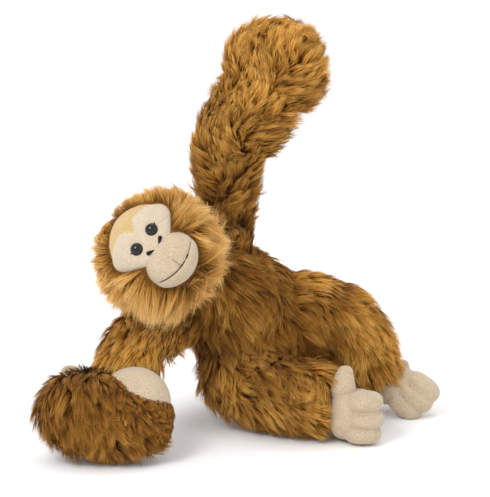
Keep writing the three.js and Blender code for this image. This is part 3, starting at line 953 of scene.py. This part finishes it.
def attach(name, *objects):
    """The pieces of one fabric body ride on its CAD body; those over a joint stay where they are,
    their place baked into their meshes.
    """
    words = name.split("_")
    kind, side = words[-2:] if len(words) > 1 else ("", "")
    arm = {"arm": (f"upper_arm_{side}", f"forearm_{side}"), "leg": (f"thigh_{side}", f"shin_{side}")}
    joint = {"arm": ("shoulder", "elbow"), "leg": ("hip", "knee")}
    for obj in objects:
        if name in ("torso", "head"):
            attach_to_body(obj, name)
        elif words[0] in ("end", "hand"):
            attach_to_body(obj, arm["arm" if words[0] == "hand" else kind][1])
        else:
            upper = words[0] == "upper"
            at = JOINTS[f"{joint[kind][0 if upper else 1]}_{side}"]
            rows = bodies[name].rows
            near = np.argmin(np.linalg.norm(rows[:, :3] - np.array(at), axis=1))
            way = Vector(bodies[name].ways()[near])
            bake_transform(obj)


def soft_piece(obj, body, look, fill, *nodes):
    """A padded piece that rides on one body and stands for some CAD nodes."""
    give(obj, looks[look])
    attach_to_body(obj, body)
    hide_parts(*nodes)
    return obj


ROOT_DEPTH = 1.5 * MM  # roots deeper than this in another body are left out
FLOOR_TRIM, PALM_TRIM = 24 * MM, 13 * MM  # how near the floor and the palm pad the pile gets shorter


def make_palms():
    """Smooth palm pads, which the pile doesn't grow through."""
    return {
        "palm_l": Ball("palm_plush_l", middle("palm_l"), (34, 14, 34)),
        "palm_r": Ball("palm_plush_r", middle("hand_back_r") + mm(29, 15, 14), (36, 29, 35)),
    }


def bare_of_others(name, roots, solid):
    """Which roots are off the floor and outside every other body and the face."""
    keep = roots[:, 2] > FLOOR_GAP * 1.5
    for other, thing in solid.items():
        if other != name:
            keep &= thing.depth(roots) < ROOT_DEPTH
    if name == "head":
        keep &= ~inside_face(roots)
    return keep


def trimmed(name, roots, palms):
    """The pile's length as a share: shorter near the floor, and clipped round the right palm pad."""
    scale = head_scale(roots) if name == "head" else np.clip(0.22 + roots[:, 2] / FLOOR_TRIM, 0, 1)
    if name.endswith("_r"):
        scale = scale * np.clip(-palms["palm_r"].depth(roots) / PALM_TRIM, 0.3, 1)
    return scale


def put_on_body():
    """Fabric bodies with their pile."""
    palms = make_palms()
    for side in "lr":
        soft_piece(palms[f"palm_{side}"].obj, f"forearm_{side}", "beige_plush", 0.8, f"palm_{side}")
    solid = {**bodies, **palms}
    cad = {"arm": ("upper_arm", "forearm"), "leg": ("thigh", "shin")}
    for number, (name, body) in enumerate(bodies.items()):
        rng = np.random.default_rng(SEED + number)
        pile = PILES.get(name, LIMB_PILE)
        roots, normals = scatter(body.obj, pile.density, rng)
        keep = bare_of_others(name, roots, solid)
        roots, normals = roots[keep], normals[keep]
        scale = trimmed(name, roots, palms)
        flow, bias = flow_of(name, roots), TONE_AND_PAINTED_LIGHT.get(name, 0)
        piles = grow(f"{name}_pile", roots, normals, flow, pile, rng, bias, scale)
        furry = "head_fur" if name == "head" else "fur"
        backing = "head_backing" if name == "head" else "backing"
        for strands in piles:
            give(strands, looks[furry])
        give(body.obj, looks[backing])
        attach(name, body.obj, *piles)
        if name in ("torso", "head"):
            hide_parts(f"{name}_skin", f"{name}_stuffing")
        elif name.startswith("hand"):
            side = name[-1]
            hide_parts(f"hand_back_{side}", f"hand_stuffing_{side}")
        elif not name.startswith("end"):
            place, kind, side = name.split("_")
            node = cad[kind][0 if place == "upper" else 1]
            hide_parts(f"{node}_{side}_skin", f"{node}_{side}_stuffing")


def put_on_face():
    """The patches, muzzle, stitches and eyes, all on the head."""
    mask = face_patch("mask_plush", MASK_HALF, MASK_MIDDLE, mask_puff)
    soft_piece(mask, "head", "cream_plush", 0.7, "eye_mask")
    brow = face_patch("forehead_plush", FOREHEAD_HALF, FOREHEAD_MIDDLE, forehead_puff)
    soft_piece(brow, "head", "tan_plush", 0.7, "forehead_patch")
    soft_piece(make_muzzle(), "head", "beige_plush", 0.85, "muzzle")
    stitches = make_stitches()
    for obj in stitches.values():
        give(obj, looks["thread"])
        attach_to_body(obj, "head")
    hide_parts("mouth_stitch")
    for side, sign in (("l", 1), ("r", -1)):
        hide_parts(f"nostril_{side}")
        eye = give(make_eye(side, sign), looks["eye_plastic"])
        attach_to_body(eye, "head")
        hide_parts(f"eye_{side}")


def put_on_hands_and_feet():
    """Soles, big toes and thumbs, each riding on the limb it is sewn to."""
    for side in "lr":
        soft_piece(make_foot(side), f"shin_{side}", "beige_plush", 0.8, f"foot_{side}")
        toe = make_digit(f"big_toe_plush_{side}", f"big_toe_{side}", 11, 0.45, (2, 0, 0))
        soft_piece(toe, f"shin_{side}", "beige_plush", 0.8, f"big_toe_{side}")
        thumb = make_digit(f"thumb_plush_{side}", f"thumb_{side}", 11)
        soft_piece(thumb, f"forearm_{side}", "beige_plush", 0.8, f"thumb_{side}")


def finish_cad_parts():
    """The parts inside keep their CAD shape and get their own materials."""
    kept = {"skeleton": "skeleton_plastic", "eye_washer": "washer_plastic", "pellet_bag": "canvas"}
    for name, node in frame["nodes"].items():
        for start, look in kept.items():
            if name.startswith(start):
                node.data.materials.clear()
                node.data.materials.append(looks[look])


# ---------------------------------------------------------------- studio


def area_light(name, place, aim, size, power):
    """A round soft light, its size in metres and its power in watts."""
    data = bpy.data.lights.new(name, "AREA")
    data.shape, data.size, data.energy = "DISK", size, power
    lamp = bpy.data.objects.new(name, data)
    lamp.location = place
    lamp.rotation_euler = (Vector(aim) - Vector(place)).to_track_quat("-Z", "Y").to_euler()
    bpy.context.scene.collection.objects.link(lamp)


WORLD_LIGHT = 1.06


def studio():
    """A pale floor and soft light from the left, the right and above."""
    corners = [(-9, -9, 0), (9, -9, 0), (9, 9, 0), (-9, 9, 0)]
    floor = mesh_object("floor", corners, [(0, 1, 2, 3)], False)
    look = Look("floor_paint", Roughness=0.9, Specular_IOR_Level=0.1)
    shade = look.noise(3, 2)
    look.colour(look.ramp(shade, (0.3, (0.93, 0.93, 0.935, 1)), (0.7, (0.95, 0.95, 0.955, 1))))
    floor.data.materials.append(look.material)
    centre = (cad_low + cad_high) / 2
    area_light("key", centre + Vector((-1.0, -1.6, 1.5)), centre, 0.95, 27)
    area_light("fill", centre + Vector((1.6, -1.2, 0.9)), centre, 1.6, 3)
    area_light("top", centre + Vector((0.1, 0.5, 2.0)), centre, 1.6, 5)
    world = bpy.data.worlds.new("studio")
    world.use_nodes = True
    background = world.node_tree.nodes["Background"].inputs
    background["Color"].default_value = (1, 1, 1, 1)
    background["Strength"].default_value = WORLD_LIGHT
    bpy.context.scene.world = world
    bpy.context.scene.view_settings.view_transform = "Standard"


VIEW_WIDTH = 0.497  # what the long side of the frame shows at the object
VIEW_DISTANCE = 3.0
VIEW_RISE = radians(13)
VIEW_SHIFT = mm(2.7, -16.2, -9.3)  # from the CAD box's middle to where the camera looks
FILM_WIDTH = 36


def camera():
    """A long lens, a little above, from in front."""
    data = bpy.data.cameras.new("camera")
    data.lens, data.sensor_width = FILM_WIDTH / VIEW_WIDTH * VIEW_DISTANCE, FILM_WIDTH
    cam = bpy.data.objects.new("camera", data)
    target = (cad_low + cad_high) / 2 + VIEW_SHIFT
    back = Vector((0, -cos(VIEW_RISE), sin(VIEW_RISE)))
    cam.location = target + back * VIEW_DISTANCE
    cam.rotation_euler = (-back).to_track_quat("-Z", "Y").to_euler()
    bpy.context.scene.collection.objects.link(cam)
    bpy.context.scene.camera = cam


camera()
studio()
put_on_body()
put_on_face()
put_on_hands_and_feet()
finish_cad_parts()
